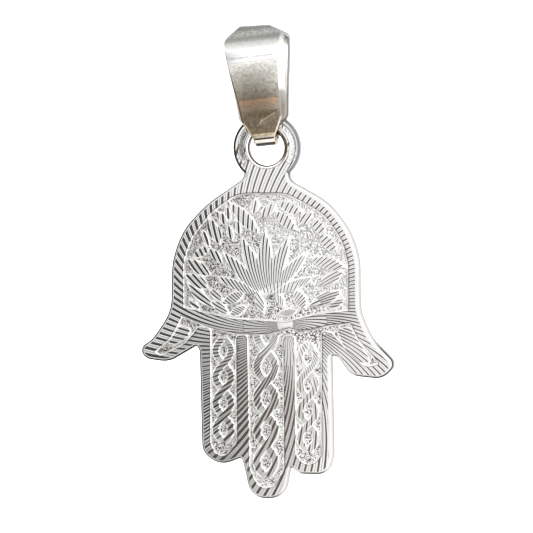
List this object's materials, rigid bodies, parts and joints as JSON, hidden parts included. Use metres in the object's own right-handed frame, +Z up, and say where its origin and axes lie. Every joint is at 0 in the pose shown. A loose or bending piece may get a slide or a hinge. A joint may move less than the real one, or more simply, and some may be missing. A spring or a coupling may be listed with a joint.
{
  "type": "hand pendant",
  "caption": "Open-hand pendant of cast silver with a raised border, leaves, twisted chains and a pierced eye, hung on a tapered strap bail.",
  "frame": {"origin": "where a chain sits, on the inner face of the bail's arch at its middle", "axes": "+Z up, from the hand to the bail; -Y out of the relief face; +X to the right as the relief is seen"},
  "size_m": [0.0256, 0.0064, 0.0475],
  "materials": {
    "cast_silver": "cast silver, polished on the raised relief with fine engraved lines, matte and stippled on the sunk ground, darkened in the lines",
    "polished_silver": "polished sheet silver with fine scratches, a little tarnished"
  },
  "bodies": {
    "bail": {"bail": "polished_silver"},
    "hand": {"hand": "cast_silver"}
  },
  "joints": [
    {"name": "hand_swing", "type": "hinge", "parent": "bail", "child": "hand", "pos_m": [0.00121, 0, -0.01149], "axis": [0, 1, 0], "range_deg": [-90, 90]}
  ]
}
